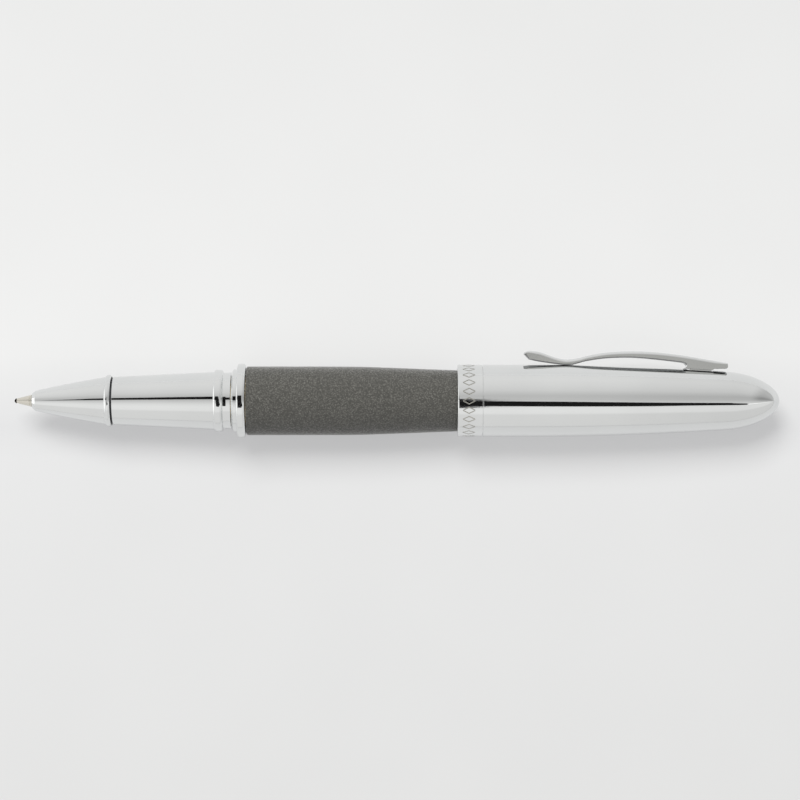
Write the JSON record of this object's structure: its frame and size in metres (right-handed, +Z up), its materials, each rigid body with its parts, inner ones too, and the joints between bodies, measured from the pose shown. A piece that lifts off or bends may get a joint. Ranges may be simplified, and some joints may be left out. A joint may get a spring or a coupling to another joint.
{
  "type": "rollerball pen",
  "caption": "Chromed rollerball pen with a leather-wrapped barrel, its clipped cap posted on the tail, lying on its side.",
  "frame": {"origin": "centre of the bounding box in plan, on the surface that the pen lies on", "axes": "+X from the writing tip to the cap's dome, +Y towards the pocket clip, +Z up"},
  "size_m": [0.15, 0.0171, 0.0146],
  "materials": {
    "chrome": "polished chrome plate with faint handling marks",
    "leather": "fine-grained grey leather, semi-matt",
    "brass": "turned, unplated",
    "steel": "bright drawn steel and nickel silver",
    "carbide": "ground carbide",
    "black_plastic": "moulded, satin",
    "ink_fibre": "bonded fibre soaked with ink"
  },
  "bodies": {
    "barrel": {"barrel_front_ring": "chrome", "barrel_thread_bush": "brass", "leather_wrap": "leather", "barrel_tube": "brass", "barrel_end_cap": "chrome", "refill_spring": "steel"},
    "refill": {"refill_tip": "steel", "refill_nose": "black_plastic", "refill_tube": "steel", "ink_reservoir": "ink_fibre", "feed_wick": "ink_fibre", "refill_end_plug": "black_plastic"},
    "ball": {"writing_ball": "carbide"},
    "section": {"nose_cone": "chrome", "grip_tube": "chrome", "section_coupling": "brass"},
    "cap": {"cap_band": "chrome", "cap_shell": "chrome", "cap_snap_ring": "steel", "inner_cap": "black_plastic", "clip_bracket": "steel", "clip_rivet": "steel"},
    "clip": {"pocket_clip": "chrome"}
  },
  "joints": [
    {"name": "cap_pull", "type": "slide", "parent": "barrel", "child": "cap", "axis": [1, 0, 0], "range_m": [0, 0.036]},
    {"name": "clip_flex", "type": "hinge", "parent": "cap", "child": "clip", "pos_m": [0.06, 0.00265, 0.0073], "axis": [0, 0, -1], "range_deg": [0, 3.5], "stiffness_Nm_per_rad": 3},
    {"name": "refill_travel", "type": "slide", "parent": "barrel", "child": "refill", "axis": [-1, 0, 0], "range_m": [0, 0.0045], "deforming": ["refill_spring"]},
    {"name": "section_screw", "type": "hinge", "parent": "refill", "child": "section", "pos_m": [-0.03, -0.00125, 0.0073], "axis": [-1, 0, 0], "range_deg": [0, 1620]},
    {"name": "ball_roll", "type": "hinge", "parent": "refill", "child": "ball", "pos_m": [-0.07465, -0.00125, 0.0073], "axis": [0, 1, 0], "continuous": true}
  ],
  "couplings": [
    {"joint": "refill_travel", "follows": "section_screw", "m_per_rad": 0.00015915}
  ]
}
